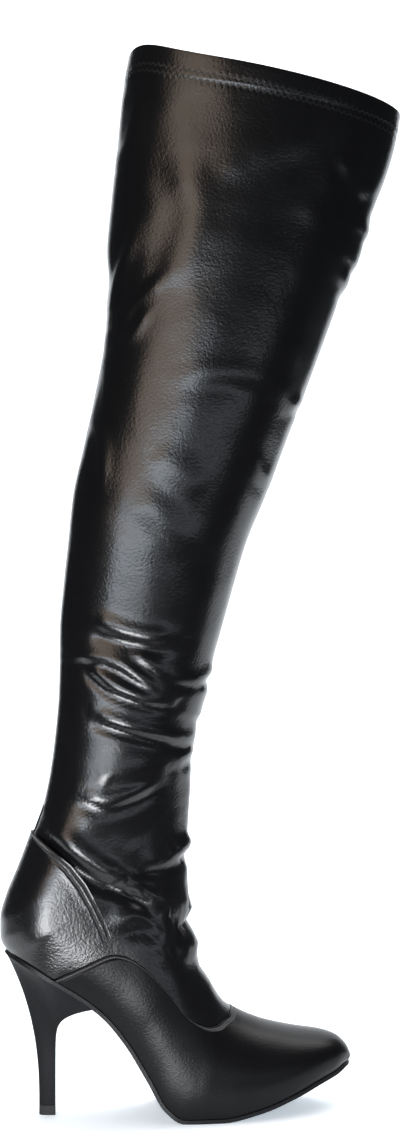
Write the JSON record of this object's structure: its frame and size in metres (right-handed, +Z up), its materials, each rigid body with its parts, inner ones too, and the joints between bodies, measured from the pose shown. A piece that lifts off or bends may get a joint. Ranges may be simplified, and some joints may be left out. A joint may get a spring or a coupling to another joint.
{
  "type": "thigh high boot",
  "caption": "Thigh high pull-on boot with a pointed toe and a slim high heel; the leg leans over the heel and ends in a slanted hemmed collar. Right foot, hollow, standing empty.",
  "frame": {"origin": "middle of the boot's bounding box on the floor, with the boot standing on its sole and heel tip", "axes": "+X from heel to toe, +Y to the inner side of the foot, +Z up towards the collar"},
  "size_m": [0.268, 0.1172, 0.6981],
  "materials": {
    "upper_shaft": "black stretch faux leather, satin gloss, with a fine pebble and soft creases",
    "upper_vamp": "smooth black faux leather, semi gloss",
    "counter": "smooth black faux leather, semi gloss",
    "outsole": "thin black sole, matte, edge lightly polished",
    "insole": "dark padded sock lining",
    "heel": "dark grey-black cover, matte to satin",
    "top_lift": "hard black rubber, matte"
  },
  "bodies": {
    "root": {"upper_shaft": "upper_shaft", "upper_vamp": "upper_vamp", "counter": "counter", "outsole": "outsole", "insole": "insole", "heel": "heel", "top_lift": "top_lift"}
  },
  "joints": []
}
